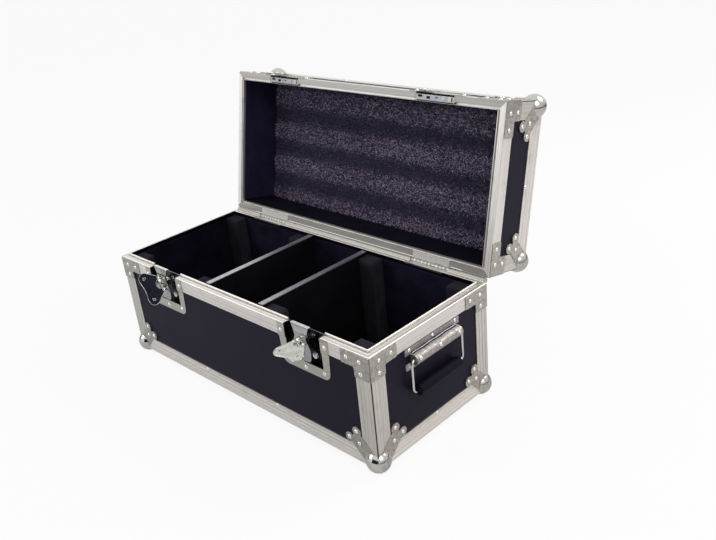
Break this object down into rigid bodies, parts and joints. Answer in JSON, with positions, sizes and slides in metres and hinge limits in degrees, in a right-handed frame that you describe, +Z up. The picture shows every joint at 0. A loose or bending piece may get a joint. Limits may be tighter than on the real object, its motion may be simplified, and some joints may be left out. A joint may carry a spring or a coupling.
{
  "type": "flight case",
  "caption": "Long black flight case with aluminium edges and ball corners, a hinged lid, recessed butterfly latches, sprung end handles and a foam-lined interior with dividers.",
  "frame": {"origin": "on the floor, under the middle of the base", "axes": "+X along the case's width towards its right end, -Y out of the front where the latches are, +Z up"},
  "size_m": [0.6856, 0.4985, 0.4892],
  "materials": {
    "panels": "black laminate, semi-gloss",
    "edge_aluminium": "satin",
    "zinc_steel": "zinc plated",
    "bright_steel": "bright plated",
    "lining_foam": "matte",
    "lid_foam": "short pile",
    "block_foam": "matte",
    "divider_board": "matte black",
    "divider_cap": "satin",
    "grip_plastic": "matte"
  },
  "bodies": {
    "base": {"base_front_panel": "panels", "base_rear_panel": "panels", "base_left_panel": "panels", "base_right_panel": "panels", "base_bottom_panel": "panels", "base_corner_angles": "edge_aluminium", "base_long_angles": "edge_aluminium", "base_end_angles": "edge_aluminium", "base_long_rims": "edge_aluminium", "base_end_rims": "edge_aluminium", "base_ball_corners": "zinc_steel", "base_rim_braces": "zinc_steel", "left_latch_dish": "zinc_steel", "right_latch_dish": "zinc_steel", "left_hinge_base_leaf": "zinc_steel", "right_hinge_base_leaf": "zinc_steel", "hinge_pins": "zinc_steel", "left_handle_plate": "zinc_steel", "right_handle_plate": "zinc_steel", "base_front_lining": "lining_foam", "base_rear_lining": "lining_foam", "base_end_linings": "lining_foam", "left_bay_pad": "lining_foam", "middle_bay_pad": "lining_foam", "right_bay_pad": "lining_foam", "bay_corner_blocks": "block_foam", "left_divider": "divider_board", "right_divider": "divider_board", "divider_caps": "divider_cap"},
    "lid": {"lid_front_panel": "panels", "lid_rear_panel": "panels", "lid_left_panel": "panels", "lid_right_panel": "panels", "lid_top_panel": "panels", "lid_corner_angles": "edge_aluminium", "lid_long_angles": "edge_aluminium", "lid_end_angles": "edge_aluminium", "lid_long_rims": "edge_aluminium", "lid_end_rims": "edge_aluminium", "lid_ball_corners": "zinc_steel", "lid_rim_braces": "zinc_steel", "left_keeper_dish": "zinc_steel", "right_keeper_dish": "zinc_steel", "left_hinge_lid_leaf": "zinc_steel", "right_hinge_lid_leaf": "zinc_steel", "lid_front_lining": "lining_foam", "lid_rear_lining": "lining_foam", "lid_end_linings": "lining_foam", "lid_top_foam": "lid_foam"},
    "left_latch_spindle": {"left_latch_spindle": "bright_steel"},
    "left_latch_wing": {"left_latch_wing": "zinc_steel"},
    "left_latch_hook": {"left_latch_hook": "zinc_steel"},
    "left_handle": {"left_handle_bail": "zinc_steel", "left_handle_grip": "grip_plastic"},
    "right_latch_spindle": {"right_latch_spindle": "bright_steel"},
    "right_latch_wing": {"right_latch_wing": "zinc_steel"},
    "right_latch_hook": {"right_latch_hook": "zinc_steel"},
    "right_handle": {"right_handle_bail": "zinc_steel", "right_handle_grip": "grip_plastic"}
  },
  "joints": [
    {"name": "lid_hinge", "type": "hinge", "parent": "base", "child": "lid", "pos_m": [0, 0.146, 0.20845], "axis": [1, 0, 0], "range_deg": [0, 102]},
    {"name": "left_latch_turn", "type": "hinge", "parent": "base", "child": "left_latch_spindle", "pos_m": [-0.186, -0.14, 0.1892], "axis": [0, 1, 0], "range_deg": [0, 180]},
    {"name": "left_wing_fold", "type": "hinge", "parent": "left_latch_spindle", "child": "left_latch_wing", "pos_m": [-0.186, -0.147, 0.1892], "axis": [0.5, 0, -0.866], "range_deg": [-135, 45]},
    {"name": "left_hook_draw", "type": "slide", "parent": "base", "child": "left_latch_hook", "axis": [0, 0.5477, -0.8367], "range_m": [0, 0.00657]},
    {"name": "left_handle_lift", "type": "hinge", "parent": "base", "child": "left_handle", "pos_m": [-0.333, 0, 0.1642], "axis": [0, 1, 0], "range_deg": [0, 86], "stiffness_Nm_per_rad": 0.15, "springref_deg": -28.65},
    {"name": "right_latch_turn", "type": "hinge", "parent": "base", "child": "right_latch_spindle", "pos_m": [0.186, -0.14, 0.1892], "axis": [0, 1, 0], "range_deg": [0, 180]},
    {"name": "right_wing_fold", "type": "hinge", "parent": "right_latch_spindle", "child": "right_latch_wing", "pos_m": [0.186, -0.147, 0.1892], "axis": [0.9936, 0, 0.1132], "range_deg": [-106, 74]},
    {"name": "right_hook_draw", "type": "slide", "parent": "base", "child": "right_latch_hook", "axis": [0, 0.5477, -0.8367], "range_m": [0, 0.00657]},
    {"name": "right_handle_lift", "type": "hinge", "parent": "base", "child": "right_handle", "pos_m": [0.333, 0, 0.1642], "axis": [0, -1, 0], "range_deg": [0, 86], "stiffness_Nm_per_rad": 0.15, "springref_deg": -28.65}
  ],
  "couplings": [
    {"joint": "left_latch_turn", "follows": "left_hook_draw", "rad_per_m": 478.1},
    {"joint": "right_latch_turn", "follows": "right_hook_draw", "rad_per_m": 478.1}
  ]
}
